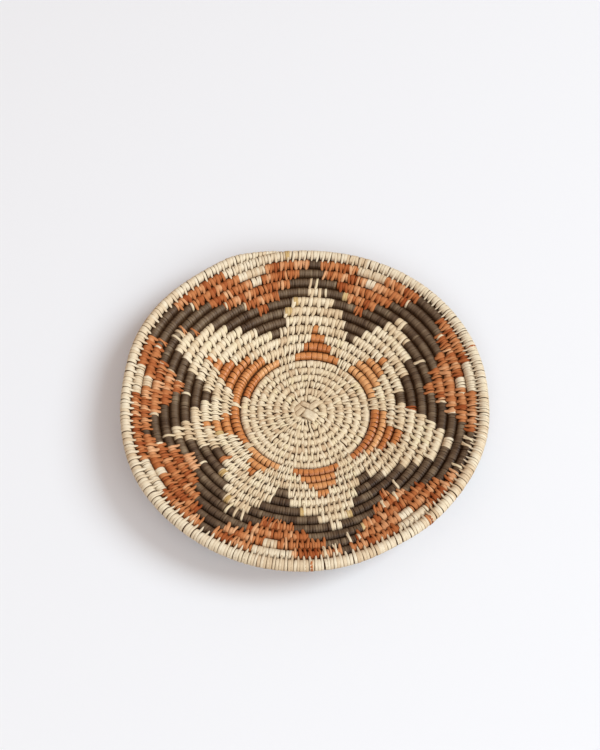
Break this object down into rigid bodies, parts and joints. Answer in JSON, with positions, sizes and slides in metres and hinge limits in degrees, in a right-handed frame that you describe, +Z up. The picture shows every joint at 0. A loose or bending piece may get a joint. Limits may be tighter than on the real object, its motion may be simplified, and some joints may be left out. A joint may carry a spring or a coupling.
{
  "type": "coiled basket",
  "caption": "Shallow round coiled basket of wrapped grass coil with a flat base, a low flared wall and a star in cream, terracotta and dark brown strips.",
  "frame": {"origin": "middle of the flat underside, on the coil's axis", "axes": "+Z up out of the bowl, -Y towards the viewer of the picture, +X to its right"},
  "size_m": [0.3404, 0.3358, 0.0391],
  "materials": {
    "cream_strip": "matte undyed palm leaf strip",
    "terracotta_strip": "matte terracotta dyed palm leaf strip",
    "petal_strip": "satin orange terracotta dyed palm leaf strip",
    "dark_strip": "satin dark brown dyed palm leaf strip",
    "grass_core": "dry grass stems in a bundle",
    "woven_patch": "matte plaited palm leaf strips"
  },
  "bodies": {
    "root": {"foundation_coil": "grass_core", "start_patch": "woven_patch", "centre_wrap": "cream_strip", "rim_wrap": "cream_strip", "petal_wrap_1": "petal_strip", "petal_wrap_2": "petal_strip", "petal_wrap_3": "petal_strip", "petal_wrap_4": "petal_strip", "petal_wrap_5": "petal_strip", "petal_wrap_6": "petal_strip", "petal_wrap_7": "petal_strip", "star_point_1": "cream_strip", "star_point_2": "cream_strip", "star_point_3": "cream_strip", "star_point_4": "cream_strip", "star_point_5": "cream_strip", "star_point_6": "cream_strip", "star_point_7": "cream_strip", "dark_chevron_1": "dark_strip", "dark_chevron_2": "dark_strip", "dark_chevron_3": "dark_strip", "dark_chevron_4": "dark_strip", "dark_chevron_5": "dark_strip", "dark_chevron_6": "dark_strip", "dark_chevron_7": "dark_strip", "terracotta_border_1": "terracotta_strip", "terracotta_border_2": "terracotta_strip", "terracotta_border_3": "terracotta_strip", "terracotta_border_4": "terracotta_strip", "terracotta_border_5": "terracotta_strip", "terracotta_border_6": "terracotta_strip", "terracotta_border_7": "terracotta_strip", "rim_inset_1": "cream_strip", "rim_inset_2": "cream_strip", "rim_inset_3": "cream_strip", "rim_inset_4": "cream_strip", "rim_inset_5": "cream_strip", "rim_inset_6": "cream_strip", "rim_inset_7": "cream_strip"}
  },
  "joints": []
}
